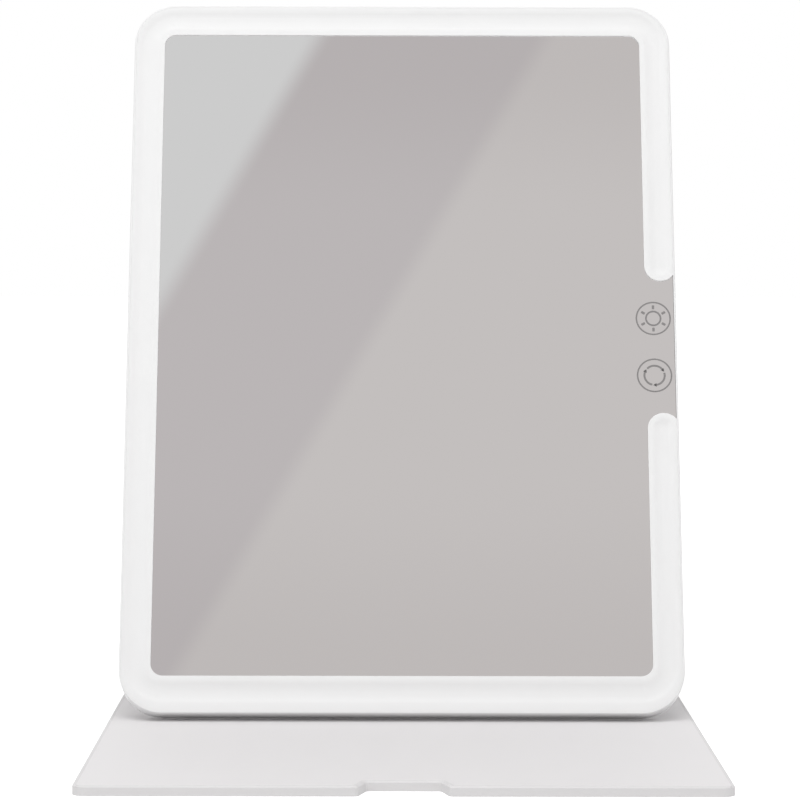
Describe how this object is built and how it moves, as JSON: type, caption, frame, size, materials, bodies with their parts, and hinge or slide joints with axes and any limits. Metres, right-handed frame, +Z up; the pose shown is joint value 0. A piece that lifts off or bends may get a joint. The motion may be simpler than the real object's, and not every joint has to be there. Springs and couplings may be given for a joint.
{
  "type": "lighted makeup mirror",
  "caption": "Slim rectangular makeup mirror with a light ring and touch icons, leaning on a folding cover whose back leg holds it up.",
  "frame": {"origin": "middle of the footprint on the table, under the cover", "axes": "+Z up; the mirror faces -Y and leans back towards +Y; +X to the viewer's right"},
  "size_m": [0.1864, 0.2668, 0.2341],
  "materials": {
    "white_case": "satin white moulded plastic",
    "milky_ring": "milky light diffuser, half gloss",
    "mirror": "silvered glass",
    "adhesive": "double-sided tape",
    "white_frame": "matt white moulded plastic",
    "circuit_board": "white solder mask",
    "led": "white and warm LED packages",
    "copper": "bare copper",
    "ribbon": "amber flexible circuit",
    "chip": "black moulded packages",
    "steel": "plated steel",
    "wire": "insulated wire",
    "cell": "foil pouch",
    "foam": "foam tape",
    "magnet": "nickel-plated magnet",
    "stiffener": "pressed fibre board",
    "cover_skin": "pale grey coated cloth with a fine grain",
    "cover_lining": "pale grey microfibre lining"
  },
  "bodies": {
    "cover": {"cover_board": "stiffener", "spine_board": "stiffener", "cover_skin": "cover_skin", "cover_lining": "cover_lining", "cover_magnets": "magnet", "leg_fold_web": "cover_skin"},
    "leg": {"leg_board": "stiffener", "leg_skin": "cover_skin", "leg_lining": "cover_lining", "stand_fold_web": "cover_skin"},
    "mirror_unit": {"rear_shell": "white_case", "light_diffuser": "milky_ring", "mirror_glass": "mirror", "glass_tape": "adhesive", "chassis_plate": "white_frame", "led_board": "circuit_board", "led_chips": "led", "touch_board": "circuit_board", "touch_pads": "copper", "touch_ribbon": "ribbon", "main_board": "circuit_board", "board_chips": "chip", "usb_socket": "steel", "led_leads": "copper", "battery_cell": "cell", "battery_pad": "foam", "battery_leads": "wire", "case_screws": "steel", "board_screws": "steel", "case_magnets": "magnet", "back_panel_board": "stiffener", "back_panel_skin": "cover_skin", "back_panel_tape": "adhesive"}
  },
  "joints": [
    {"name": "leg_fold", "type": "hinge", "parent": "cover", "child": "leg", "pos_m": [0, 0.13355, 0.0004], "axis": [-1, 0, 0], "range_deg": [0, 112.65], "deforming": ["leg_fold_web"]},
    {"name": "stand_fold", "type": "hinge", "parent": "leg", "child": "mirror_unit", "pos_m": [0, 0.06442, 0.16605], "axis": [-1, 0, 0], "range_deg": [-43.32, 0], "deforming": ["stand_fold_web"]}
  ],
  "couplings": [
    {"joint": "stand_fold", "follows": "leg_fold", "ratio": -0.38438}
  ]
}
